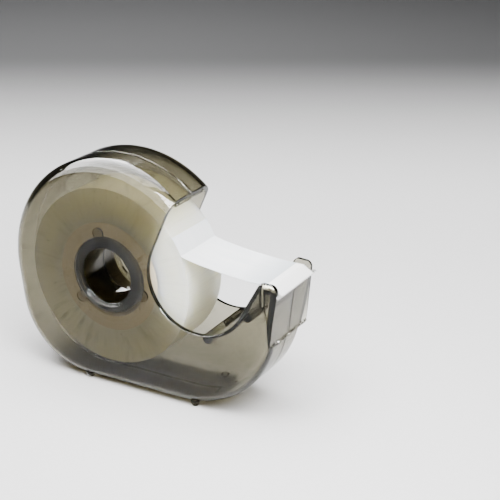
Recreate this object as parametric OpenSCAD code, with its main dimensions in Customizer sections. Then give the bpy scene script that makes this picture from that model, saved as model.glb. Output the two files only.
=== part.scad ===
// Hand-held tape dispenser, loaded with one roll.
// Two tray-shaped half shells meet on the centre plane (y = 0).
// X points to the nose and the cutter, Z up, and the roll turns about Y.
// The origin is the centre of the finger hole through the hub.

/* [Body] */
// overall width across the two half shells
body_w = 23.6; // [23.2:0.1:25]
// radius of the round back of the body
back_r = 35.6; // [35:0.1:36.2]
// radius of the lower rear corner
heel_r = 25.1; // [24.4:0.1:26]
// how far the lower rear corner sits behind the hub
heel_x = 9.3; // [8:0.1:10]
// radius of the lower front curve
belly_r = 30.3; // [29:0.1:31]
// how far forward the lower front curve reaches
belly_x = 55.5; // [55:0.1:56]
// height of the hub above the flat underside
hub_h = 36.1; // [35.8:0.1:37]
// rounding between the side faces and the rim
shoulder = 4.8; // [4.4:0.1:5]
// thickness of the side walls
side_wall = 1.5; // [1.4:0.1:1.6]
// thickness of the rim
rim_wall = 1.5; // [1.4:0.1:1.6]
// gap along the seam between the two halves
seam_gap = 0.06; // [0.04:0.01:0.1]
// height of the four feet below the underside
foot_h = 0.6; // [0.5:0.05:1]
// radius of a foot
foot_r = 1.2; // [1:0.1:1.3]
// distance of the feet from the side faces
foot_in = 2.4; // [2.2:0.1:2.6]

/* [Mouth] */
// radius of the finger cut-out
mouth_r = 16.3; // [16:0.1:16.5]
// centre of the cut-out forward of the hub
mouth_x = 31.5; // [31.3:0.1:31.8]
// centre of the cut-out above the hub
mouth_z = 4.5; // [4.3:0.1:4.8]
// lean of the edge that climbs to the rim
rim_lean = 66; // [65:0.5:67]
// lean of the edge that climbs to the nose
ramp_lean = 61.2; // [60.5:0.1:62]
// thickness of the ramp that closes the nose
ramp_wall = 1.6; // [1.4:0.1:1.7]

/* [Nose] */
// centre of the nose rounding forward of the hub
nose_x = 55.6; // [55.4:0.1:55.8]
// centre of the nose rounding above the hub
nose_z = 6.6; // [6.4:0.1:6.8]
// radius of the nose rounding
nose_r = 2; // [1.9:0.05:2.1]
// depth of the deck below the top of the cheeks
deck_drop = 1.8; // [1.7:0.05:1.9]
// height of the ledge across the front, below the hub
ledge_z = 10.7; // [10.3:0.1:11]

/* [Hub] */
// radius of the finger hole through the hub
bore_r = 8.7; // [8.4:0.1:8.8]
// rounding at each mouth of the finger hole
bore_lip = 0.8; // [0.6:0.1:0.8]
// outer radius of the tube the roll hangs on
tube_r = 12; // [11.9:0.05:12.1]
// wall of the inner sleeve
sleeve_wall = 1.55; // [1.4:0.05:1.6]
// running clearance between sleeve and tube, and at the pins
slip = 0.08; // [0.05:0.01:0.1]
// radius of a spacer pad
pad_r = 1.75; // [1.6:0.05:1.9]
// distance of the pads from the hub axis
pad_at = 13.2; // [13:0.1:13.4]

/* [Roll] */
// width of the tape
tape_w = 19.05; // [18:0.05:19.1]
// inside diameter of the core
core_id = 25.4; // [25.2:0.1:25.6]
// outside diameter of the core
core_od = 34.4; // [33:0.1:36]
// outside diameter of the wound tape
roll_od = 55.6; // [50:0.1:55.8]

/* [Cutter] */
// thickness of the steel
steel = 0.45; // [0.4:0.05:0.5]
// number of teeth
teeth = 20; // [16:1:24]
// depth of a tooth
tooth = 0.55; // [0.4:0.05:0.6]
// how far the teeth stand forward of the nose
reach = 1.0; // [0.95:0.05:1.2]

/* [Free end] */
// thickness of the free tape as drawn
film = 0.12; // [0.1:0.01:0.15]
// sag of the free tape between roll and nose
sag = 0.85; // [0.6:0.05:0.9]

/* [Hidden] */
$fn = 96;
half_w = body_w / 2;
inner_w = half_w - side_wall;
front = nose_x + nose_r;
cheek_top = nose_z + nose_r;
deck = cheek_top - deck_drop;
roll_r = roll_od / 2;
core_r = core_id / 2;
sleeve_r = bore_r + sleeve_wall;
// the core hangs on the top of the tube
hang = -(core_r - tube_r - 0.05);
// spacer pads stop short of the side of the roll, and the hub tube just passes it
pad_y = tape_w / 2 + 0.125;
tube_y = tape_w / 2 + 0.02;
// how far joined shapes run into each other
weld = 0.3;
ramp_foot = [mouth_x + mouth_r * sin(ramp_lean), mouth_z - mouth_r * cos(ramp_lean)];
rim_foot = [mouth_x - mouth_r * sin(rim_lean), mouth_z + mouth_r * cos(rim_lean)];
ramp_top_x = ramp_foot[0] + (cheek_top - ramp_foot[1]) / tan(ramp_lean);
deck_x = ramp_foot[0] + (deck - ramp_foot[1]) / tan(ramp_lean);
// the steel lies on the far deck, then slopes down to the teeth
blade_z = deck;
bend_x = nose_x - 0.3;
tip_x = front + reach;
fall = 0.63;
leg_x = deck_x + 1.3;
leg_z = deck - 5.3;
// bosses behind the ramp: [x, z]
low_boss = [mouth_x + 3.4, mouth_z - mouth_r - 0.9];
high_boss = [ramp_foot[0] + 2.3, ramp_foot[1] + 0.4];
boss_r = 1.9;
pin_r = 0.9;
tooth_pitch = body_w / teeth;
// places of the feet along the underside
foot_x = [-9.1, 29.4];

// outline circles of the body: [x, z, radius, shoulder]
heel = [-heel_x, heel_r - hub_h, heel_r, shoulder];
back = [0, 0, back_r, shoulder];
belly = [belly_x - belly_r, belly_r - hub_h, belly_r, shoulder];
nose = [nose_x, nose_z, nose_r, 1];
brow = [nose_x - 0.6, nose_z, nose_r, 1];
chin = [front - 2.9, 1 - ledge_z, 1, 0.8];

// extrudes a side-view shape along Y from y0 to y1
module across(y0, y1) {
  translate([0, y1, 0])
    rotate([90, 0, 0])
      linear_extrude(height = y1 - y0)
        children();
}

// round disc standing on the centre plane with a rounded outer edge
module disc(c, inset, depth, least) {
  r = max(c[2] - inset, 0.2);
  s = min(max(c[3] - inset, least), r - 0.05);
  translate([c[0], 0, c[1]])
    rotate([90, 0, 0])
      rotate_extrude($fn = c[2] > 10 ? 108 : 28)
        polygon(concat(
          [[0, 0], [r, 0]],
          [for (a = [0:15:90]) [r - s + s * cos(a), depth - s + s * sin(a)]],
          [[0, depth]]
        ));
}

// solid form of one half, on the -Y side: round back, then belly and nose
module form(inset, depth, least) {
  hull() {
    disc(heel, inset, depth, least);
    disc(back, inset, depth, least);
  }
  hull() {
    disc(heel, inset, depth, least);
    disc(belly, inset, depth, least);
    disc(brow, inset, depth, least);
  }
}

// the nose panel stands proud of the lower front, down to the ledge
module nose_panel() {
  hull() {
    disc(nose, 0, half_w, 0.5);
    disc(chin, 0, half_w, 0.5);
  }
}

// side view of everything removed by the mouth, grown by g;
// the straight edges start just inside the circle so that they cross it
module mouth_shape(g) {
  e = g - 0.06;
  translate([mouth_x, mouth_z])
    circle(r = mouth_r + g, $fn = 96);
  polygon([
    [rim_foot[0] - e * sin(rim_lean), rim_foot[1] + e * cos(rim_lean)],
    [rim_foot[0] - e * sin(rim_lean) + 40 / tan(rim_lean), rim_foot[1] + 40],
    [80, rim_foot[1] + 40],
    [80, cheek_top - g],
    [ramp_top_x + g, cheek_top - g],
    [ramp_foot[0] + e * sin(ramp_lean), ramp_foot[1] - e * cos(ramp_lean)],
    [mouth_x, mouth_z]
  ]);
}

// rounds the rear corner of the cheek
module cheek_corner() {
  difference() {
    translate([ramp_top_x - 1, cheek_top - 1.6])
      square([2, 2.6]);
    translate([ramp_top_x + 1.05, cheek_top - 1.6])
      circle(r = 1.6, $fn = 40);
  }
}

// ramp between the mouth and the nose cavity
module ramp_shape() {
  intersection() {
    difference() {
      mouth_shape(ramp_wall);
      mouth_shape(0);
    }
    polygon([
      [low_boss[0], -30],
      [nose_x, -30],
      [nose_x, deck - 0.4],
      [deck_x - 3, deck - 0.4],
      [mouth_x + 8, mouth_z],
      [low_boss[0], mouth_z - 8]
    ]);
  }
}

// deck under the cutter, with the rib that grips the cutter's leg
module deck_shape() {
  polygon([
    [deck_x + 0.3, deck - 1.6],
    [nose_x + 0.6, deck - 1.6],
    [nose_x + 0.9, deck - 0.8],
    [nose_x - 0.4, deck],
    [deck_x, deck],
    [deck_x - 0.8, deck - 1.5]
  ]);
  translate([leg_x - 1, leg_z - 0.4])
    square([2.2, deck - leg_z]);
  translate([leg_x + 0.1, leg_z - 0.4])
    circle(r = 1.1, $fn = 32);
}

// space for the cutter and the tape between the cheeks, g below the steel
module trough_shape(g) {
  polygon([
    [deck_x - 1.5, deck - g],
    [bend_x, deck - g],
    [bend_x + 5, deck - g - 5 * fall],
    [bend_x + 9, deck - g - 5 * fall],
    [bend_x + 9, deck + 6],
    [deck_x - 1.5, deck + 6]
  ]);
}

// everything the two halves have in common, on the -Y side;
// under_steel is the gap left below the cutter
module half_shell(under_steel) {
  difference() {
    union() {
      difference() {
        union() {
          form(0, half_w, 0.5);
          nose_panel();
        }
        translate([0, 0.5, 0])
          form(rim_wall, inner_w + 0.5, 0.6);
      }
      across(-inner_w - weld, 0) {
        ramp_shape();
        deck_shape();
        for (b = [low_boss, high_boss])
          translate(b)
            circle(r = boss_r, $fn = 40);
      }
      across(-inner_w - weld, -pad_y) {
        circle(r = tube_r);
        for (a = [102:120:342])
          rotate(a)
            translate([pad_at, 0])
              circle(r = pad_r, $fn = 32);
      }
      for (x = foot_x)
        translate([x, -half_w + foot_in, -hub_h - foot_h])
          cylinder(r1 = foot_r - 0.3, r2 = foot_r + 0.25, h = foot_h + rim_wall - 0.1, $fn = 32);
    }
    translate([-50, -seam_gap / 2, -50])
      cube([120, 10, 100]);
    across(-half_w - 1, 1) {
      mouth_shape(0);
      cheek_corner();
    }
    across(-inner_w, 1)
      trough_shape(under_steel);
    across(-inner_w, 1)
      translate([leg_x - 0.07, leg_z - 0.1])
        square([steel + 0.14, 8]);
    across(-half_w - 1, 1)
      circle(r = sleeve_r - 0.5);
  }
}

// ring round the finger hole with a rounded outer lip
module hole_ring(outer_r, y_end) {
  rotate([90, 0, 0])
    rotate_extrude($fn = 96)
      difference() {
        translate([bore_r, y_end])
          square([outer_r - bore_r, half_w - y_end]);
        difference() {
          translate([bore_r - 1, half_w - bore_lip])
            square([bore_lip + 1, bore_lip + 1]);
          translate([bore_r + bore_lip, half_w - bore_lip])
            circle(r = bore_lip, $fn = 32);
        }
      }
}

// short hooks that cross the seam beside the mouth, grown by g
module hook_shape(g) {
  intersection() {
    difference() {
      circle(r = back_r - 0.5 + g);
      circle(r = back_r - rim_wall + 0.2 - g);
    }
    rotate(52.5 - g)
      translate([0, -1 - g])
        square([60, 3 + 2 * g]);
  }
  translate([mouth_x, mouth_z])
    intersection() {
      difference() {
        circle(r = mouth_r + ramp_wall - 0.4 + g);
        circle(r = mouth_r + 0.4 - g);
      }
      rotate(-58)
        translate([0, -1.2 - g])
          square([60, 2.4 + 2 * g]);
    }
}

module near_shell() {
  color([0.30, 0.27, 0.21, 0.55])
    union() {
      half_shell(0.05);
      hole_ring(sleeve_r, 0);
      for (b = [low_boss, high_boss])
        translate([b[0], -1, b[1]])
          rotate([-90, 0, 0])
            cylinder(r = pin_r, h = 3.4, $fn = 32);
      across(-0.8, 1.2)
        hook_shape(0);
    }
}

module far_shell() {
  color([0.28, 0.25, 0.20, 0.55])
    difference() {
      union() {
        mirror([0, 1, 0])
          half_shell(0);
        mirror([0, 1, 0])
          hole_ring(sleeve_r + weld, inner_w);
        across(-tube_y, inner_w + weld)
          difference() {
            circle(r = tube_r);
            circle(r = sleeve_r + slip);
          }
      }
      for (b = [low_boss, high_boss])
        translate([b[0], -1, b[1]])
          rotate([-90, 0, 0])
            cylinder(r = pin_r + slip, h = 4, $fn = 32);
      across(-1, 1.35)
        hook_shape(0.12);
    }
}

// side view of the bent steel strip
module blade_shape() {
  polygon([
    [leg_x, leg_z],
    [leg_x + steel, leg_z],
    [leg_x + steel, blade_z],
    [bend_x, blade_z],
    [tip_x, blade_z - (tip_x - bend_x) * fall],
    [tip_x, blade_z - (tip_x - bend_x) * fall + steel],
    [bend_x, blade_z + steel],
    [leg_x, blade_z + steel]
  ]);
}

module cutter_blade() {
  color([0.72, 0.73, 0.75])
    difference() {
      union() {
        across(-inner_w + 0.1, inner_w - 0.1)
          blade_shape();
        across(-half_w, half_w)
          intersection() {
            blade_shape();
            translate([front + 0.15, 0])
              square([5, 8]);
          }
      }
      for (i = [0:teeth - 1])
        translate([0, -half_w + i * tooth_pitch, 0])
          linear_extrude(height = 12)
            polygon([
              [tip_x + 0.1, 0.04],
              [tip_x + 0.1, tooth_pitch - 0.04],
              [tip_x - tooth, tooth_pitch / 2]
            ]);
    }
}

module tape_core() {
  color([0.72, 0.62, 0.53])
    translate([0, 0, hang])
      rotate([90, 0, 0])
        rotate_extrude($fn = 96)
          polygon([
            [core_r + 0.3, -tape_w / 2],
            [core_od / 2, -tape_w / 2],
            [core_od / 2, tape_w / 2],
            [core_r + 0.3, tape_w / 2],
            [core_r, tape_w / 2 - 0.3],
            [core_r, -tape_w / 2 + 0.3]
          ]);
}

module wound_tape() {
  color([0.88, 0.87, 0.78])
    translate([0, 0, hang])
      across(-tape_w / 2, tape_w / 2)
        difference() {
          circle(r = roll_r, $fn = 120);
          circle(r = core_od / 2);
        }
}

// path of the free tape: the last stretch still on the roll, the sagging
// span, the deck and the slope down to the teeth
lift_r = roll_r + 0.1 + film / 2;
lift_a = 23.5;
span0 = [lift_r * cos(lift_a) + 1.3, hang + lift_r * sin(lift_a) - 0.3];
span1 = [leg_x, blade_z + steel + 0.05 + film / 2];
slope1 = [bend_x + 2.9, span1[1] - 2.9 * fall];
path = concat(
  [for (a = [34:-2:24]) [lift_r * cos(a), hang + lift_r * sin(a)]],
  [for (t = [0:0.125:1]) [
    span0[0] + t * (span1[0] - span0[0]),
    span0[1] + t * (span1[1] - span0[1]) - 4 * sag * t * (1 - t)
  ]],
  [[bend_x, span1[1]], slope1]
);
function unit(v) = v / norm(v);
function heading(i) = unit(path[min(i + 1, len(path) - 1)] - path[max(i - 1, 0)]);
function beside(i, d) = [path[i][0] - d * heading(i)[1], path[i][1] + d * heading(i)[0]];

module tape_strip() {
  color([0.90, 0.92, 0.93])
    across(-tape_w / 2, tape_w / 2)
      polygon(concat(
        [for (i = [0:len(path) - 1]) beside(i, film / 2)],
        [for (i = [len(path) - 1:-1:0]) beside(i, -film / 2)]
      ));
}

near_shell();
far_shell();
cutter_blade();
tape_core();
wound_tape();
tape_strip();
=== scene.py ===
"""A hand-held tape dispenser in smoke-tinted clear plastic, loaded with a roll of tape.

Sizes are millimetres until a mesh is made. Side views are drawn as (x, z) points, and angles in
them are degrees from +X towards +Z. The roll turns about an axis along Y.
"""

import math
import random

import bmesh
import bpy
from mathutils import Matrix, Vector


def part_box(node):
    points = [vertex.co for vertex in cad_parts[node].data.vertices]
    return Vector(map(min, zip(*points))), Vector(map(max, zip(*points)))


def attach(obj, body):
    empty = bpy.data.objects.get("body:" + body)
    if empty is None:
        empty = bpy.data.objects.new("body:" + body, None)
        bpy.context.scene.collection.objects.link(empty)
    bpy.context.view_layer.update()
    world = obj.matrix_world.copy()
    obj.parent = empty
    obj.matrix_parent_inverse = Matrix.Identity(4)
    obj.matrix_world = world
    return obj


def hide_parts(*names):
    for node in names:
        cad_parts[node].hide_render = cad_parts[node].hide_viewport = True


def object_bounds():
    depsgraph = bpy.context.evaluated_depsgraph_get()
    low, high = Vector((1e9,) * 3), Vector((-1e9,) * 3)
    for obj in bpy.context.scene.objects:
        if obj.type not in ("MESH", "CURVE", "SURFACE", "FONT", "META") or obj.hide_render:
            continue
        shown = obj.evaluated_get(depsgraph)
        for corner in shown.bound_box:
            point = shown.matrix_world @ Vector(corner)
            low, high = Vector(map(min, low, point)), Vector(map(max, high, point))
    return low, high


MM = 0.001
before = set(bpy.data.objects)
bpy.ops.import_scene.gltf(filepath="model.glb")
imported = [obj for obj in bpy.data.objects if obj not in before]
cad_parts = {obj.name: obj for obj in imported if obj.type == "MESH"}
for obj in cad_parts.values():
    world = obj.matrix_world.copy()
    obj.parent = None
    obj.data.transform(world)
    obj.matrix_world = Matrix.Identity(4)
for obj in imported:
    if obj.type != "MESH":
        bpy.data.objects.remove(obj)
cad_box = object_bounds()

# ---- sizes that the frame gives ----
roll_low, roll_high = (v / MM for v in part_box("wound_tape"))
core_low, core_high = (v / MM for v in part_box("tape_core"))
_, shell_high = (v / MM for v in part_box("far_shell"))
FLOOR = cad_box[0].z / MM
HALF_W = shell_high.y
BACK_R = shell_high.z
ROLL_R = (roll_high.x - roll_low.x) / 2
CORE_OUTER = (core_high.x - core_low.x) / 2
ROLL_Z = (roll_high.z + roll_low.z) / 2
TAPE_W = roll_high.y - roll_low.y

# ---- the two moulded halves ----
SIDE_WALL = 1.5
RIM_WALL = 1.5
RAMP_WALL = 1.1
DECK_WALL = 1.2
INNER_W = HALF_W - SIDE_WALL
SHOULDER = 4.8  # rounding between the side and the rim
TIGHTER = 1.2  # how much tighter its inside gets from the top to the bottom, where it looks darkest
LEAST_ROUND = 0.25
SEAM = 0.03  # half the gap between the halves
BEVEL = 0.2  # broken edges along the seam
# circles that the outline is stretched round: x, z, radius, shoulder
BACK = (0, 0, BACK_R, SHOULDER)
HEEL = (-9.3, -11.0, 25.1, SHOULDER)
BELLY = (25.2, -5.8, 30.3, SHOULDER)
BROW = (55.0, 6.6, 2.0, 1.0)
NOSE = (55.6, 6.6, 2.0, 1.0)
CHIN = (55.35, -10.35, 0.35, 0.3)
OUTER_CLOSE = (30, 6)  # where the outline closes inside the mouth, outside and inside
INNER_CLOSE = (28.4, 4.2)
# the mouth: a circle, with a straight edge up to the rim and another up the ramp
MOUTH = (31.5, 4.5)
MOUTH_R = 16.3
RIM_LEAN = math.radians(66)
RIM_ROUND = 0.7
RAMP_LEAN = math.radians(61.2)
CHEEK_TOP = NOSE[1] + NOSE[2] - 0.02
CHEEK_ROUND = 1.6
LIP = 0.45  # rounding where the mouth meets the outside of the wall
# the hub
BORE_R = 8.7
SLEEVE_R = 10.25
TUBE_R = 12.0
SLIP = 0.08
# spacer pads round the hub, and feet
PAD_Y = TAPE_W / 2 + 0.125
PAD_R = 1.75
PAD_AT = 13.2
PAD_TURNS = (102, 222, 342)
FOOT_X = (-9.1, 29.4)
FOOT_IN = 2.4
FOOT = [(0.7, 0), (0.9, 0.12), (1.25, 0.7), (1.45, 2.0)]
# so that solids join or cut cleanly
OVERLAP = 0.3  # into the wall that a solid grows from
SPARE = 0.3  # above the deck, for the trough to take off
PROUD = 0.004  # between two faces that would lie in one plane
PAST = 1  # a cutting solid runs this far past what it cuts

# ---- the cutter, and what holds it ----
STEEL = 0.45
FALL = 0.63  # slope of the steel in front of its bend
DECK = CHEEK_TOP - 1.78
RAMP_FOOT = (MOUTH[0] + MOUTH_R * math.sin(RAMP_LEAN), MOUTH[1] - MOUTH_R * math.cos(RAMP_LEAN))
DECK_X = RAMP_FOOT[0] + (DECK - RAMP_FOOT[1]) / math.tan(RAMP_LEAN)
BEND_X = NOSE[0] - 0.3
LEG_X = DECK_X + 1.3
LEG_Z = DECK - 5.3
SLOT_GAP = 0.07
RIB_BACK, RIB_MIDDLE, RIB_FRONT = LEG_X - 0.7, LEG_X + 0.2, LEG_X + 1.1
RIB_R = 0.9
TEETH = 20
TOOTH = 0.55

# ---- pins, hooks and beads of flash ----
BOSSES = ((MOUTH[0] + 3.4, MOUTH[1] - MOUTH_R - 0.9), (RAMP_FOOT[0] + 2.3, RAMP_FOOT[1] + 0.4))
BOSS_R = 1.6
PIN_R = 0.9
HOOK_HALF = 1.3
LEDGE = (CHIN[0] + 0.35, CHIN[1] - 0.3)
LEDGE_BEAD = 0.62
RIM_END = (22.95, 25.2)
RIM_BEADS = {-1: 0.6, 1: 0.4}

# ---- the tape ----
CORE_BORE = 12.7
FILM = 0.12
SAG = 0.85
STUCK_TURNS = range(36, 22, -2)  # where the free tape still lies on the roll
HANGING = 25  # points along the stretch that hangs free

# ---- the smoke tint ----
SMOKE = (0.36, 0.325, 0.18, 1)
SMOKE_DENSITY = 850


# ---------------------------------------------------------------- side-view outlines
def arc(centre, radius, start, end, step=3.0):
    """Points on an arc, both ends included."""
    n = max(1, round(abs(end - start) / step))
    turns = [math.radians(start + (end - start) * i / n) for i in range(n + 1)]
    return [(centre[0] + radius * math.cos(t), centre[1] + radius * math.sin(t)) for t in turns]


def tangent_angle(a, b):
    """Direction of the outward normal where a belt leaves circle a for circle b, anticlockwise."""
    dx, dz = b[0] - a[0], b[1] - a[1]
    return math.degrees(math.atan2(dz, dx) - math.acos((a[2] - b[2]) / math.hypot(dx, dz)))


def belt(circles, start, end):
    """The belt round some circles, as (x, z, nx, nz, shoulder) for each point.

    start and end are the directions of the outward normal at its two ends.
    """
    chord, widest_turn, pitch = 1.3, 9, 3.0
    angles = [start]
    for a, b in zip(circles, circles[1:]):
        turn = tangent_angle(a, b)
        while turn < angles[-1]:
            turn += 360
        angles.append(turn)
    while end < angles[-1]:
        end += 360
    angles.append(end)
    points = []
    for circle, first, last in zip(circles, angles, angles[1:]):
        x, z, radius, shoulder = circle
        n = max(2, round(math.radians(last - first) * radius / chord))
        n = max(n, round((last - first) / widest_turn))
        for i in range(n + 1):
            t = math.radians(first + (last - first) * i / n)
            nx, nz = math.cos(t), math.sin(t)
            row = (x + radius * nx, z + radius * nz, nx, nz, shoulder)
            if points and i == 0:
                before = points[-1]
                parts = int(math.dist(before[:2], row[:2]) / pitch)
                for k in range(1, parts):
                    s = k / parts
                    points.append(tuple(u + (v - u) * s for u, v in zip(before, row)))
            points.append(row)
    return points


def mouth_outline(grow):
    """The side view of all that the mouth removes, grown by some millimetres.

    Its two upper corners are round, one where the edge meets the rim and one on top of the cheek.
    """
    rim_dir = (math.cos(RIM_LEAN), math.sin(RIM_LEAN))
    rim_side = (-math.sin(RIM_LEAN), math.cos(RIM_LEAN))
    # the centre of the round corner is one radius from the edge and from the rim
    off = MOUTH_R + grow + RIM_ROUND
    base = (MOUTH[0] + rim_side[0] * off, MOUTH[1] + rim_side[1] * off)
    dot = base[0] * rim_dir[0] + base[1] * rim_dir[1]
    reach = -dot + math.sqrt(dot * dot - base[0] ** 2 - base[1] ** 2 + (BACK_R - RIM_ROUND) ** 2)
    centre = (base[0] + rim_dir[0] * reach, base[1] + rim_dir[1] * reach)
    outward = math.degrees(math.atan2(centre[1], centre[0]))
    rim_corner = arc(centre, RIM_ROUND, math.degrees(RIM_LEAN) - 90, outward, 8)
    far_x, high_z = 95, 45
    beyond = [(rim_corner[-1][0] * 1.2, rim_corner[-1][1] * 1.2), (far_x, high_z)]
    beyond.append((far_x, CHEEK_TOP - grow))
    ramp_side = (math.sin(RAMP_LEAN), -math.cos(RAMP_LEAN))
    ramp_dir = (math.cos(RAMP_LEAN), math.sin(RAMP_LEAN))
    off = MOUTH_R + grow + CHEEK_ROUND
    base = (MOUTH[0] + ramp_side[0] * off, MOUTH[1] + ramp_side[1] * off)
    rise = (CHEEK_TOP - grow - CHEEK_ROUND - base[1]) / ramp_dir[1]
    centre = (base[0] + ramp_dir[0] * rise, base[1] + ramp_dir[1] * rise)
    cheek_corner = arc(centre, CHEEK_ROUND, 90, math.degrees(RAMP_LEAN) + 90, 8)
    first, last = math.degrees(RAMP_LEAN) - 90, math.degrees(RIM_LEAN) + 90 - 360
    bowl = arc(MOUTH, MOUTH_R + grow, first, last)
    return rim_corner + beyond + cheek_corner + bowl


# ---------------------------------------------------------------- meshes
def make_object(name, vertices, faces):
    """A smooth-shaded object from millimetre vertices, with its normals outward."""
    mesh = bpy.data.meshes.new(name)
    mesh.from_pydata([tuple(c * MM for c in v) for v in vertices], [], faces)
    bm = bmesh.new()
    bm.from_mesh(mesh)
    bmesh.ops.recalc_face_normals(bm, faces=bm.faces)
    bm.to_mesh(mesh)
    bm.free()
    mesh.shade_smooth()
    obj = bpy.data.objects.new(name, mesh)
    bpy.context.scene.collection.objects.link(obj)
    return obj


def loft(name, rings, closed=False):
    """A solid through rings of equally many points. Its ends are capped, or if closed, joined."""
    count = len(rings[0])
    vertices = [p for ring in rings for p in ring]
    faces = []
    for k in range(len(rings) if closed else len(rings) - 1):
        a, b = k * count, (k + 1) % len(rings) * count
        for i in range(count):
            j = (i + 1) % count
            faces.append((a + i, a + j, b + j, b + i))
    if not closed:
        faces.append(tuple(range(count)))
        faces.append(tuple(range(len(vertices) - count, len(vertices))))
    return make_object(name, vertices, faces)


def prism(name, points, y0, y1):
    """A side-view shape pushed along Y."""
    return loft(name, [[(x, y, z) for x, z in points] for y in (y0, y1)])


def lathe(name, profile, segments=128, centre=(0, 0)):
    """A closed (radius, y) profile turned about an axis along Y."""
    rings = []
    for i in range(segments):
        t = 2 * math.pi * i / segments
        c, s = math.cos(t), math.sin(t)
        rings.append([(centre[0] + r * c, y, centre[1] + r * s) for r, y in profile])
    return loft(name, rings, closed=True)


def lathe_up(name, centre, profile):
    """A solid of (radius, height) rings standing on the floor at (x, y)."""
    turns = [math.radians(15 * i) for i in range(24)]
    rings = []
    for radius, height in profile:
        z = FLOOR + height
        rings.append(
            [(centre[0] + radius * math.cos(t), centre[1] + radius * math.sin(t), z) for t in turns]
        )
    return loft(name, rings)


def combine(obj, other, operation):
    """Adds the other solid to obj, or takes it away, and deletes the other."""
    step = obj.modifiers.new("combine", "BOOLEAN")
    step.operation, step.solver, step.object = operation, "EXACT", other
    dg = bpy.context.evaluated_depsgraph_get()
    mesh = bpy.data.meshes.new_from_object(obj.evaluated_get(dg), depsgraph=dg)
    obj.modifiers.clear()
    obj.data = mesh
    bpy.data.objects.remove(other)


def add(obj, other):
    combine(obj, other, "UNION")


def cut(obj, other):
    combine(obj, other, "DIFFERENCE")


def finish_shading(obj):
    """Smooth faces with crisp edges, where large flat faces keep their own normal."""
    obj.data.shade_smooth()
    obj.data.set_sharp_from_angle(angle=math.radians(32))
    normals = obj.modifiers.new("flat faces stay flat", "WEIGHTED_NORMAL")
    normals.keep_sharp = True
    normals.weight = 100
    return obj


# ---------------------------------------------------------------- the two moulded halves
# side is -1 for the near half and 1 for the far half
def shouldered(outline, tail, inset, depth, seam_y, chamfer, side, steps=9):
    """Rings of a moulded half, from the seam outwards to its depth, inset all round.

    tail is where the outline closes inside the mouth, if it has to.
    """

    def ring(rule):
        points = []
        for x, z, nx, nz, shoulder in outline:
            shrink, y = rule(max(shoulder - inset, LEAST_ROUND))
            shrink += inset
            points.append((x - nx * shrink, side * y, z - nz * shrink))
        if tail:
            points.append((tail[0], points[-1][1], tail[1]))
        return points

    rings = [ring(lambda r: (chamfer, seam_y))]
    if chamfer:
        rings.append(ring(lambda r: (0, seam_y + chamfer)))
    for k in range(steps + 1):
        t = math.pi / 2 * k / steps
        rings.append(ring(lambda r: (r - r * math.cos(t), depth - r + r * math.sin(t))))
    return rings


def half_body(name, side):
    """The hollow tray of one half: side wall, rounded shoulder and rim, and the nose panel."""
    outline = belt([BACK, HEEL, BELLY, BROW], 38, 85.4)
    # past the brow, the outline runs on straight into the mouth
    x, z, nx, nz, shoulder = outline[-1]
    outline.append((x - 10 * nz, z + 10 * nx, nx, nz, shoulder))
    body = loft(name, shouldered(outline, OUTER_CLOSE, 0, HALF_W, SEAM, BEVEL, side))
    first = tangent_angle(NOSE, CHIN)
    panel_line = belt([CHIN, NOSE], first, first + 359)
    add(body, loft("panel", shouldered(panel_line, None, 0, HALF_W - 0.01, SEAM, BEVEL, side, 6)))
    inner_line = []
    for x, z, nx, nz, shoulder in outline:
        inner_line.append((x, z, nx, nz, shoulder - TIGHTER * (1 - nz) / 2))
    inner = shouldered(inner_line, INNER_CLOSE, RIM_WALL, INNER_W, -2 * PAST, 0, side, 6)
    cut(body, loft("hollow", inner))
    return body


def ramp_and_deck():
    """Side view of the ramp under the mouth and the deck for the cutter, a little into the mouth."""
    low, high = math.degrees(RAMP_LEAN) - 90, -78
    ramp_dir = (math.cos(RAMP_LEAN), math.sin(RAMP_LEAN))
    upper = arc(MOUTH, MOUTH_R - 0.5, high, low)
    lower = arc(MOUTH, MOUTH_R + RAMP_WALL, low, high)
    top = upper[-1]
    rise = (DECK + SPARE - top[1]) / ramp_dir[1]
    under = lower[0]
    lift = (DECK - DECK_WALL - under[1]) / ramp_dir[1]
    deck = [(top[0] + ramp_dir[0] * rise, DECK + SPARE), (NOSE[0] + 0.4, DECK + SPARE)]
    deck += [(NOSE[0] + 0.9, DECK - 0.8), (NOSE[0] + 0.6, DECK - DECK_WALL)]
    deck.append((under[0] + ramp_dir[0] * lift, DECK - DECK_WALL))
    return upper + deck + lower


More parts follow.
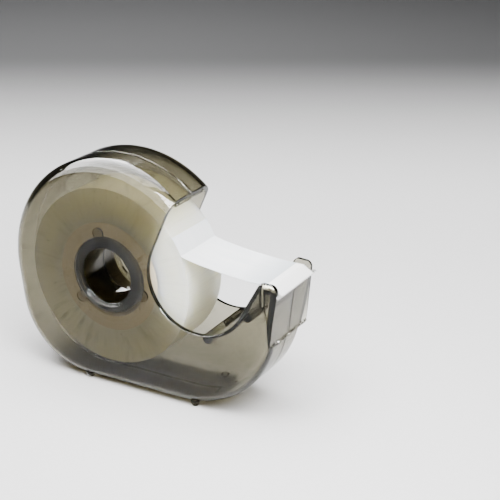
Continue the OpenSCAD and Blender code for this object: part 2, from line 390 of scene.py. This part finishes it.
def moulded_half(name, side):
    """One half with all that both halves share."""
    body = half_body(name, side)
    inside, seam = side * (INNER_W + OVERLAP), side * SEAM

    def span(title, points, y0, y1):
        return prism(title, points, side * y0, side * y1)

    add(body, prism("ramp", ramp_and_deck(), inside, seam))
    rib = [(RIB_BACK, DECK - 1), (RIB_BACK, LEG_Z), *arc((RIB_MIDDLE, LEG_Z), RIB_R, 180, 360, 12)]
    add(body, prism("rib", rib + [(RIB_FRONT, DECK - 1)], inside, seam))
    for boss in BOSSES:
        add(body, prism("boss", arc(boss, BOSS_R, 0, 351, 9), inside, seam))
    add(body, span("spacer", arc((0, 0), TUBE_R, 0, 357), INNER_W + OVERLAP, PAD_Y))
    for turn in PAD_TURNS:
        t = math.radians(turn)
        pad = arc((PAD_AT * math.cos(t), PAD_AT * math.sin(t)), PAD_R, 0, 351, 9)
        add(body, span("pad", pad, INNER_W + OVERLAP, PAD_Y - PROUD))
    for x in FOOT_X:
        add(body, lathe_up("foot", (x, side * (HALF_W - FOOT_IN)), FOOT))
    cut_mouth(body, side)
    add(body, crinkled(LEDGE, side * (HALF_W - 1.0), side * 0.25, LEDGE_BEAD, 7 + side))
    add(body, crinkled(RIM_END, side * 8.0, side * 0.25, RIM_BEADS[side], 21 + side))
    back, low, front, high = DECK_X - 2.5, DECK - 5 * FALL, BEND_X + 9, DECK + 6
    trough = [(back, DECK), (BEND_X, DECK), (BEND_X + 5, low)]
    trough += [(front, low), (front, high), (back, high)]
    cut(body, span("trough", trough, INNER_W, -PAST))
    back, front = LEG_X - SLOT_GAP, LEG_X + STEEL + SLOT_GAP
    low, high = LEG_Z - 0.1, DECK + 3
    slot = [(back, low), (front, low), (front, high), (back, high)]
    cut(body, span("slot", slot, INNER_W - 0.02, -PAST))
    cut(body, span("hub hole", arc((0, 0), SLEEVE_R - 0.5, 0, 357), HALF_W + PAST, -PAST))
    return body


def cut_mouth(body, side):
    """Cuts the mouth, with a small rounding where it meets the outside of the wall."""
    rules = [(LIP, HALF_W + PAST), (LIP, HALF_W)]
    for t in (0.4, 0.8, 1.2, math.pi / 2):
        rules.append((LIP - LIP * math.sin(t), HALF_W - LIP + LIP * math.cos(t)))
    rules.append((0, -PAST))
    rings = [[(x, side * y, z) for x, z in mouth_outline(grow)] for grow, y in rules]
    cut(body, loft("mouth", rings))


def hub_ring(outer, y_end, side):
    """The ring round the finger hole, from the outside in to y_end. Its lip is rounded in two steps."""
    face = side * (HALF_W + PROUD)
    profile = [(outer, face)]
    for inner, radius, depth in ((BORE_R + 0.75, 0.45, 0), (BORE_R, 0.4, 0.45)):
        for degrees in range(0, 91, 15):
            t = math.radians(degrees)
            sunk = depth + radius - radius * math.cos(t)
            profile.append((inner + radius * (1 - math.sin(t)), face - side * sunk))
    return lathe("hub ring", profile + [(BORE_R, side * y_end), (outer, side * y_end)])


def crinkled(at, y0, y1, thick, seed):
    """A rough little bead of plastic along Y, left where the mould closes on a sharp edge."""
    random.seed(seed)
    steps = round(abs(y1 - y0) / 0.32)
    rings = []
    for i in range(steps + 1):
        y = y0 + (y1 - y0) * i / steps
        ring = []
        for turn in range(20, 380, 60):
            t, radius = math.radians(turn), thick * random.uniform(0.5, 1.0)
            ring.append((at[0] + radius * math.cos(t), y, at[1] + radius * math.sin(t)))
        rings.append(ring)
    return loft("bead", rings)


def seam_hooks(name, grow, y0, y1):
    """The two short hooks that cross the seam, in the rim above the mouth and in the wall below it."""
    rim = ((0, 0), 53, BACK_R - RIM_WALL + 0.2, BACK_R - 0.5)
    low = (MOUTH, -58, MOUTH_R + 0.3, MOUTH_R + RAMP_WALL - 0.2)
    solids = []
    for centre, at, inner, outer in (rim, low):
        inner -= grow
        outer += grow
        half = math.degrees((HOOK_HALF + grow) / outer)
        points = arc(centre, inner, at - half, at + half, 1)
        points += arc(centre, outer, at + half, at - half, 1)
        solids.append(prism(name, points, y0, y1))
    return solids


def near_half():
    """The half that pulls off. It carries the sleeve inside the hub, the hooks and the pins."""
    body = moulded_half("near_half_moulding", -1)
    add(body, hub_ring(SLEEVE_R, 0, -1))
    for hook in seam_hooks("hook", 0, -0.8, 1.2):
        add(body, hook)
    for boss in BOSSES:
        add(body, prism("pin", arc(boss, PIN_R, 0, 345, 15), -1, 2.4))
    return body


def far_half():
    """The half with the hub tube that the roll hangs on, and with sockets for the pins and hooks."""
    body = moulded_half("far_half_moulding", 1)
    add(body, hub_ring(SLEEVE_R + 0.3, INNER_W, 1))
    inner, low, high = SLEEVE_R + SLIP, -(TAPE_W / 2 + 0.02), INNER_W + 0.4
    profile = [(inner, low), (TUBE_R - 0.25, low), (TUBE_R, low + 0.25), (TUBE_R, high), (inner, high)]
    add(body, lathe("hub tube", profile))
    for boss in BOSSES:
        cut(body, prism("socket", arc(boss, PIN_R + SLIP, 0, 345, 15), -PAST, 3))
    for pocket in seam_hooks("pocket", 0.12, -PAST, 1.35):
        cut(body, pocket)
    return body


# ---------------------------------------------------------------- the roll, the free tape, the cutter
def tape_core():
    """The core: a plain ring whose bore has broken edges and a shallow recess along its middle."""
    half, inner, outer = TAPE_W / 2, CORE_BORE, CORE_OUTER - 0.02
    profile = [(inner + 0.35, -half), (outer, -half), (outer, half), (inner + 0.35, half)]
    profile += [(inner + 0.1, half - 0.1), (inner, half - 0.35)]
    profile += [(inner, half - 1.5), (inner + 0.12, half - 1.6)]
    profile += [(inner + 0.12, 1.6 - half), (inner, 1.5 - half)]
    profile += [(inner, 0.35 - half), (inner + 0.1, 0.1 - half)]
    return lathe("core", profile, 144, (0, ROLL_Z))


def wound_tape():
    """The wound tape: its side faces show a few turns that stand a little out of line."""
    random.seed(4)
    edge = [(CORE_OUTER, 0.0)]
    radius = CORE_OUTER + 0.5
    while radius < ROLL_R - 0.6:
        edge.append((radius, random.choice((0, 0, 0.02, 0.035, 0.06))))
        radius += random.choice((0.25, 0.4, 0.6, 0.9))
    edge += [(ROLL_R - 0.12, 0.0), (ROLL_R - 0.03, 0.04), (ROLL_R, 0.13)]
    half = TAPE_W / 2
    profile = [(r, -half + d) for r, d in edge] + [(r, half - d) for r, d in reversed(edge)]
    return lathe("roll", profile, 192, (0, ROLL_Z))


def blade_side(tip):
    """Side view of the steel: a leg in the rib, a flat with two grooves, and the slope down to tip."""
    drop = (tip - BEND_X) * FALL
    top, under = DECK + STEEL, DECK + 0.02
    groove = [(0, 0), (0.12, -0.1), (0.48, -0.1), (0.6, 0)]
    back = [(LEG_X, LEG_Z), (LEG_X, top - 0.35), (LEG_X + 0.1, top - 0.1), (LEG_X + 0.35, top)]
    flat = [(LEG_X + 0.55 + a + shift, top + b) for shift in (0, 0.85) for a, b in groove]
    front = [(BEND_X - 0.25, top), (BEND_X + 0.3, top - 0.12)]
    front += [(tip, top - drop), (tip, DECK - drop + 0.12)]
    below = [(BEND_X, under), (LEG_X + STEEL, under), (LEG_X + STEEL, LEG_Z)]
    return back + flat + front + below


def cutter_blade():
    """The bent steel strip, with its row of teeth across the full width in front of the nose."""
    pitch = 2 * HALF_W / TEETH
    tip = NOSE[0] + NOSE[2] + 1
    rings = []
    for i in range(TEETH):
        for share, bite in ((0.035, 0.05), (0.5, TOOTH), (0.965, 0.05)):
            y = -HALF_W + (i + share) * pitch
            rings.append([(x, y, z) for x, z in blade_side(tip - bite)])
    blade = loft("blade", rings)
    # behind the nose the strip is narrower, to fit between the cheeks
    width, back, front = INNER_W - 0.1, LEG_X - 2, NOSE[0] + NOSE[2] + 0.15
    low, high = LEG_Z - 2, DECK + 3
    corner = [(back, low), (front, low), (front, high), (back, high)]
    for side in (-1, 1):
        cut(blade, prism("corner", corner, side * width, side * (HALF_W + 2)))
    return blade


def film_path():
    """The free tape from the roll to the teeth, as close (x, z) points along its middle."""
    radius = ROLL_R + 0.1 + FILM / 2
    path = []
    for turn in STUCK_TURNS:
        t = math.radians(turn)
        path.append((radius * math.cos(t), ROLL_Z + radius * math.sin(t)))
    start = (path[-1][0] + 1.2, path[-1][1] - 0.45)
    end = (LEG_X, DECK + STEEL + 0.05 + FILM / 2)
    for i in range(HANGING):
        t = i / (HANGING - 1)
        sag = 4 * SAG * t * (1 - t)
        path.append((start[0] + t * (end[0] - start[0]), start[1] + t * (end[1] - start[1]) - sag))
    path += [(end[0] + 0.25 * i * (BEND_X - end[0]), end[1]) for i in (1, 2, 3)]
    path += [(BEND_X + x, end[1] - x * FALL + 0.02) for x in (0.1, 0.8, 1.5, 2.2, 2.75, 2.95)]
    return path


def tape_strip():
    """The free tape: a thin sheet whose long edges lift a little, torn along the teeth."""
    path = film_path()
    rows, across = len(path), 81
    headings = []
    for i in range(rows):
        a, b = path[max(i - 1, 0)], path[min(i + 1, rows - 1)]
        length = math.dist(a, b)
        headings.append(((b[0] - a[0]) / length, (b[1] - a[1]) / length))
    edge_lift, ripple, tear = 0.22, 0.03, 0.9
    upper, lower = [], []
    for i, ((x, z), (hx, hz)) in enumerate(zip(path, headings)):
        free = math.sin(math.pi * min(max((i - len(STUCK_TURNS)) / HANGING, 0), 1))
        last = max(0, i - rows + 3) / 2
        for j in range(across):
            s = 2 * j / (across - 1) - 1
            lift = edge_lift * free * abs(s) ** 3 + ripple * free * math.sin(5 * s + 0.4 * i)
            torn = (0.5 - abs((j / 4) % 1 - 0.5)) * tear * last
            px, pz = x + hx * torn, z + hz * torn + lift
            upper.append((px - hz * FILM / 2, s * TAPE_W / 2, pz + hx * FILM / 2))
            lower.append((px + hz * FILM / 2, s * TAPE_W / 2, pz - hx * FILM / 2))
    offset = rows * across
    faces = []
    for i in range(rows - 1):
        for j in range(across - 1):
            a = i * across + j
            b = a + across
            faces.append((a, a + 1, b + 1, b))
            faces.append((offset + a, offset + b, offset + b + 1, offset + a + 1))
    rim = list(range(across))
    rim += [(i + 1) * across - 1 for i in range(1, rows)]
    rim += [(rows - 1) * across + j for j in range(across - 2, -1, -1)]
    rim += [i * across for i in range(rows - 2, 0, -1)]
    for a, b in zip(rim, rim[1:] + rim[:1]):
        faces.append((a, b, offset + b, offset + a))
    return make_object("free_tape", upper + lower, faces)


# ---------------------------------------------------------------- materials
def node(tree, kind, inputs=None, **settings):
    """A new shader node. inputs gives values, or sockets to link, by an input's name or number."""
    made = tree.nodes.new("ShaderNode" + kind)
    for key, value in settings.items():
        setattr(made, key, value)
    for key, value in (inputs or {}).items():
        if isinstance(value, bpy.types.NodeSocket):
            tree.links.new(value, made.inputs[key])
        else:
            made.inputs[key].default_value = value
    return made


def maths(tree, a, operation, b):
    return node(tree, "Math", {0: a, 1: b}, operation=operation).outputs[0]


def noise(tree, at, scale, detail=3.0, rough=0.5):
    inputs = {"Vector": at, "Scale": scale, "Detail": detail, "Roughness": rough}
    return node(tree, "TexNoise", inputs).outputs["Fac"]


def ranged(tree, value, low, high, to_low=0.0, to_high=1.0):
    """The value mapped from one range to another, and held inside it."""
    inputs = {"Value": value, "From Min": low, "From Max": high, "To Min": to_low, "To Max": to_high}
    return node(tree, "MapRange", inputs).outputs[0]


def mixed(tree, factor, a, b):
    """A colour between a and b, each an (r, g, b) or a socket."""
    made = node(tree, "Mix", data_type="RGBA")
    for key, value in ((0, factor), (6, a), (7, b)):
        if isinstance(value, bpy.types.NodeSocket):
            tree.links.new(value, made.inputs[key])
        else:
            made.inputs[key].default_value = (*value, 1)
    return made.outputs[2]


def place(tree):
    """Where a point is on the object, in metres."""
    return node(tree, "TexCoord").outputs["Object"]


def vector(tree, x, y=0.0, z=0.0):
    return node(tree, "CombineXYZ", {0: x, 1: y, 2: z}).outputs[0]


def stretched(tree, at, scale):
    return node(tree, "Mapping", {"Vector": at, "Scale": scale}).outputs[0]


def round_axis(tree, at, centre_z):
    """Radius and angle about the axis along Y at a height in millimetres, and the place along it."""
    parts = node(tree, "SeparateXYZ", {0: at})
    x, y = parts.outputs[0], parts.outputs[1]
    z = maths(tree, parts.outputs[2], "SUBTRACT", centre_z * MM)
    flat = vector(tree, x, z=z)
    radius = node(tree, "VectorMath", {0: flat}, operation="LENGTH").outputs["Value"]
    return radius, maths(tree, z, "ARCTAN2", x), y


def bump(tree, height, strength, distance, normal=None):
    inputs = {"Height": height, "Strength": strength, "Distance": distance}
    if normal:
        inputs["Normal"] = normal
    return node(tree, "Bump", inputs).outputs[0]


def new_material(name):
    material = bpy.data.materials.new(name)
    material.use_nodes = True
    return material, material.node_tree, material.node_tree.nodes["Principled BSDF"]


def drive(tree, shader, **links):
    """Links sockets to the shader's Base_Color, Roughness and Normal."""
    for key, socket in links.items():
        tree.links.new(socket, shader.inputs[key.replace("_", " ")])


def smoke_plastic():
    """Glossy see-through smoke plastic: slightly wavy, with fine scuffs, and deeper where it is thick."""
    clean, dull = (0.94, 0.94, 0.91), (0.58, 0.57, 0.53)
    material, tree, shader = new_material("smoke_plastic")
    at = place(tree)
    radius, angle, along = round_axis(tree, at, 0)
    polar = vector(tree, radius, maths(tree, angle, "MULTIPLY", 0.004), along)
    rays = noise(tree, stretched(tree, polar, (90, 2400, 40)), 1.0, 3.0, 0.6)
    patches = noise(tree, at, 70.0, 2.0)
    scuffs = maths(tree, ranged(tree, rays, 0.53, 0.68), "MULTIPLY", ranged(tree, patches, 0.45, 0.65))
    specks = ranged(tree, noise(tree, at, 900.0, 1.0), 0.73, 0.78)
    worn = maths(tree, scuffs, "MAXIMUM", specks)
    waves = bump(tree, noise(tree, at, 45.0, 1.0), 0.05, 0.002)
    drive(
        tree,
        shader,
        Base_Color=mixed(tree, worn, clean, dull),
        Roughness=ranged(tree, worn, 0, 1, 0.035, 0.12),
        Normal=bump(tree, worn, 0.10, 0.0002, waves),
    )
    shader.inputs["IOR"].default_value = 1.49
    shader.inputs["Specular Tint"].default_value = (0.35, 0.35, 0.34, 1)
    shader.inputs["Transmission Weight"].default_value = 1
    # light that goes on to a dull surface passes straight through, or the inside would be unlit
    open_way = node(tree, "BsdfTransparent", {"Color": (0.88, 0.87, 0.83, 1)})
    path = node(tree, "LightPath")
    easy = maths(tree, path.outputs["Is Shadow Ray"], "MAXIMUM", path.outputs["Is Diffuse Ray"])
    surface = node(tree, "MixShader", {0: easy, 1: shader.outputs[0], 2: open_way.outputs[0]})
    tint = node(tree, "VolumeAbsorption", {"Color": SMOKE, "Density": SMOKE_DENSITY})
    out = tree.nodes["Material Output"]
    tree.links.new(surface.outputs[0], out.inputs["Surface"])
    tree.links.new(tint.outputs[0], out.inputs["Volume"])
    return material


def painted_seam_reflection():
    """The faces where the halves meet, painted near black: a painted reflection of the dark inside of the
    wall, which these faces mirror.
    """
    dark, light = (0.015, 0.015, 0.012), (0.05, 0.047, 0.038)
    material, tree, shader = new_material("painted_seam_reflection")
    grain = noise(tree, place(tree), 1200.0, 2.0)
    drive(
        tree,
        shader,
        Base_Color=mixed(tree, grain, dark, light),
        Roughness=ranged(tree, grain, 0.3, 0.7, 0.2, 0.35),
    )
    return material


def tape_roll():
    """Frosted film in many layers: fine rings on the side faces, crossed by faint rays."""
    deep, pale = (0.85, 0.84, 0.66), (0.91, 0.905, 0.76)
    ray_tone, cloud_tone = (0.56, 0.53, 0.41), (0.78, 0.77, 0.64)
    material, tree, shader = new_material("tape_roll")
    at = place(tree)
    radius, angle, along = round_axis(tree, at, ROLL_Z)
    rings = noise(tree, vector(tree, maths(tree, radius, "MULTIPLY", 3200.0)), 1.0, 3.0, 0.65)
    slow_radius = maths(tree, radius, "MULTIPLY", 60.0)
    quick_angle = maths(tree, angle, "MULTIPLY", 26.0)
    slow_along = maths(tree, along, "MULTIPLY", 60.0)
    rays = noise(tree, vector(tree, slow_radius, quick_angle, slow_along), 1.0, 4.0, 0.6)
    cloud = noise(tree, at, 60.0, 2.0)
    tone = mixed(tree, ranged(tree, rings, 0.3, 0.7), deep, pale)
    tone = mixed(tree, ranged(tree, rays, 0.52, 0.72, 0, 0.3), tone, ray_tone)
    drive(
        tree,
        shader,
        Base_Color=mixed(tree, ranged(tree, cloud, 0.45, 0.7, 0, 0.35), tone, cloud_tone),
        Roughness=ranged(tree, rings, 0.3, 0.7, 0.28, 0.45),
        Normal=bump(tree, rings, 0.25, 0.00006),
    )
    shader.inputs["Specular IOR Level"].default_value = 0.15
    shader.inputs["Subsurface Weight"].default_value = 0.8
    shader.inputs["Subsurface Radius"].default_value = (1, 0.9, 0.6)
    shader.inputs["Subsurface Scale"].default_value = 0.014
    return material


def core_plastic():
    """Dull tan plastic with fine moulding rings."""
    deep, pale, spots = (0.70, 0.60, 0.44), (0.80, 0.70, 0.52), (0.57, 0.48, 0.34)
    material, tree, shader = new_material("core_plastic")
    at = place(tree)
    radius, _, along = round_axis(tree, at, ROLL_Z)
    lines = vector(tree, maths(tree, radius, "MULTIPLY", 2500.0), maths(tree, along, "MULTIPLY", 900.0))
    rings = noise(tree, lines, 1.0, 2.0)
    grain = noise(tree, at, 1500.0, 3.0)
    tone = mixed(tree, ranged(tree, rings, 0.3, 0.7), deep, pale)
    drive(
        tree,
        shader,
        Base_Color=mixed(tree, ranged(tree, grain, 0.4, 0.8, 0, 0.4), tone, spots),
        Roughness=ranged(tree, grain, 0.3, 0.7, 0.5, 0.68),
        Normal=bump(tree, grain, 0.2, 0.00005),
    )
    return material


def tape_film():
    """One layer of frosted film: cool white, with streaks along its length, with painted bluish shade
    where it runs up to the cutter and painted light, pale, where it lies on the cutter.
    """
    deep, pale, frost_tone = (0.80, 0.83, 0.86), (0.88, 0.89, 0.90), (0.76, 0.79, 0.82)
    # painted shade: a bluish grey for the film before the steel; painted light: a paler tone for the film
    # on the steel
    painted_shade_tone, painted_light_tone = (0.45, 0.50, 0.54), (0.90, 0.895, 0.89)
    material, tree, shader = new_material("tape_film")
    at = place(tree)
    streaks = noise(tree, stretched(tree, at, (40, 700, 40)), 1.0, 3.0, 0.6)
    frost = noise(tree, at, 2600.0, 2.0)
    tone = mixed(tree, ranged(tree, streaks, 0.35, 0.7), deep, pale)
    tone = mixed(tree, ranged(tree, frost, 0.45, 0.75, 0, 0.3), tone, frost_tone)
    x = node(tree, "SeparateXYZ", {0: at}).outputs[0]
    steel_from, steel_to = (LEG_X + 0.2) * MM, (LEG_X + 0.5) * MM
    # painted shade grows towards the steel, then painted light takes over where the film lies on it
    painted_shade_mask = ranged(tree, x, (DECK_X - 9) * MM, steel_from, 0, 0.85)
    painted_light_mask = ranged(tree, x, steel_from, steel_to)
    tone = mixed(tree, painted_shade_mask, tone, painted_shade_tone)
    drive(
        tree,
        shader,
        Base_Color=mixed(tree, painted_light_mask, tone, painted_light_tone),
        Roughness=ranged(tree, streaks, 0.3, 0.7, 0.26, 0.40),
        Normal=bump(tree, frost, 0.12, 0.00004),
    )
    shader.inputs["Specular IOR Level"].default_value = 0.2
    shader.inputs["Transmission Weight"].default_value = 0.08
    return material


def blade_steel():
    """Bright strip steel with rolling lines along the strip."""
    deep, pale, stain_tone = (0.52, 0.52, 0.51), (0.72, 0.72, 0.71), (0.40, 0.39, 0.37)
    material, tree, shader = new_material("blade_steel")
    at = place(tree)
    lines = noise(tree, stretched(tree, at, (2600, 60, 2600)), 1.0, 4.0, 0.6)
    stains = noise(tree, at, 260.0, 3.0)
    tone = mixed(tree, ranged(tree, lines, 0.3, 0.7), deep, pale)
    drive(
        tree,
        shader,
        Base_Color=mixed(tree, ranged(tree, stains, 0.5, 0.75, 0, 0.5), tone, stain_tone),
        Roughness=ranged(tree, lines, 0.3, 0.7, 0.2, 0.42),
        Normal=bump(tree, lines, 0.15, 0.00004),
    )
    shader.inputs["Metallic"].default_value = 1
    return material


def floor_paper():
    """Pale seamless paper that falls into shade far behind the object."""
    backwards, shade_from, shade_to = (-0.486, 0.874, 0), 0.15, 0.46
    deep, pale, shaded = (0.79, 0.785, 0.79), (0.81, 0.805, 0.81), (0.05, 0.05, 0.051)
    material, tree, shader = new_material("floor_paper")
    at = place(tree)
    back = node(tree, "VectorMath", {0: at, 1: backwards}, operation="DOT_PRODUCT").outputs["Value"]
    inputs = {"Value": back, "From Min": shade_from, "From Max": shade_to}
    shade = node(tree, "MapRange", inputs, interpolation_type="SMOOTHSTEP").outputs[0]
    grain = noise(tree, at, 900.0, 2.0)
    tone = mixed(tree, ranged(tree, grain, 0.3, 0.7), deep, pale)
    drive(tree, shader, Base_Color=mixed(tree, shade, tone, shaded))
    shader.inputs["Roughness"].default_value = 0.7
    shader.inputs["Specular IOR Level"].default_value = 0.05
    return material


# ---------------------------------------------------------------- stage
def make_camera():
    """The camera at the photograph's angle, in metres."""
    azimuth, elevation, distance = math.radians(29.07), math.radians(21.77), 0.3381
    target = Vector((0.04295, 0, 0.0128))
    back = Vector((math.sin(azimuth), -math.cos(azimuth), math.tan(elevation))).normalized()
    data = bpy.data.cameras.new("camera")
    data.lens, data.sensor_width = 85.04, 36
    data.clip_start = 0.01
    camera = bpy.data.objects.new("camera", data)
    camera.location = target + back * distance
    camera.rotation_euler = (-back).to_track_quat("-Z", "Y").to_euler()
    bpy.context.scene.collection.objects.link(camera)
    bpy.context.scene.camera = camera


def direction(azimuth, elevation):
    """Unit vector from the object to a place. Azimuth 0 is the front, -Y, and 90 the nose side, +X."""
    a, e = math.radians(azimuth), math.radians(elevation)
    return Vector((math.sin(a) * math.cos(e), -math.cos(a) * math.cos(e), math.sin(e)))


def panel(name, azimuth, elevation, distance, width, height, glow, lights=True, mirrored=True):
    """A rectangular light panel that faces the object, in metres. glow is its radiance.

    lights says if it lights dull surfaces, and mirrored if it shows in shiny ones.
    """
    data = bpy.data.lights.new(name, "AREA")
    data.shape = "RECTANGLE"
    data.size, data.size_y = width, height
    data.energy = glow * math.pi * width * height
    lamp = bpy.data.objects.new(name, data)
    back = direction(azimuth, elevation)
    lamp.location = Vector((0.01, 0, 0)) + back * distance
    lamp.rotation_euler = back.to_track_quat("Z", "Y").to_euler()
    lamp.visible_camera = False
    lamp.visible_diffuse = lights
    lamp.visible_glossy = mirrored
    lamp.visible_transmission = lights
    bpy.context.scene.collection.objects.link(lamp)


def make_stage():
    """The floor, a dim surround, keys that light the object and silks that it mirrors."""
    size = 3000
    corners = [(-size, -size), (size, -size), (size, size), (-size, size)]
    mesh = bpy.data.meshes.new("floor")
    mesh.from_pydata([(x * MM, y * MM, FLOOR * MM) for x, y in corners], [], [(0, 1, 2, 3)])
    floor = bpy.data.objects.new("floor", mesh)
    bpy.context.scene.collection.objects.link(floor)
    mesh.materials.append(floor_paper())
    world = bpy.data.worlds.new("studio")
    world.use_nodes = True
    world.node_tree.nodes["Background"].inputs["Color"].default_value = (0.035, 0.035, 0.036, 1)
    bpy.context.scene.world = world
    panel("overhead key", 0, 84, 0.85, 1.0, 1.0, 8.0, mirrored=False)
    panel("front key", 62, 42, 0.24, 0.14, 0.14, 14.0, mirrored=False)
    panel("near key", 25, 60, 0.14, 0.06, 0.06, 16.0, mirrored=False)
    panel("highlight", 56, 50, 0.6, 0.4, 0.3, 170.0, lights=False)
    panel("front silk", -27, 38, 0.8, 1.6, 0.75, 18.0, lights=False)
    panel("overhead silk", -110, 67, 0.7, 1.1, 1.1, 30.0, lights=False)


def darken_seam(piece):
    """Gives the faces in the seam plane, outside the hub, the dark material in the second slot, painted
    near black for the reflection they show.
    """
    for face in piece.data.polygons:
        at = face.center / MM
        in_seam = abs(face.normal.y) > 0.99 and abs(at.y) < 0.05
        if in_seam and math.hypot(at.x, at.z) > TUBE_R:
            face.material_index = 1


make_camera()
make_stage()
pieces = (
    (near_half, "near_shell", "near_half", smoke_plastic),
    (far_half, "far_shell", "far_half", smoke_plastic),
    (cutter_blade, "cutter_blade", "far_half", blade_steel),
    (tape_core, "tape_core", "roll", core_plastic),
    (wound_tape, "wound_tape", "roll", tape_roll),
    (tape_strip, "tape_strip", "far_half", tape_film),
)
made = {}
seam = painted_seam_reflection()
for build, replaced, body, look in pieces:
    piece = finish_shading(build())
    if look not in made:
        made[look] = look()
    piece.data.materials.clear()
    piece.data.materials.append(made[look])
    if look is smoke_plastic:
        piece.data.materials.append(seam)
        darken_seam(piece)
    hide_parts(replaced)
    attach(piece, body)
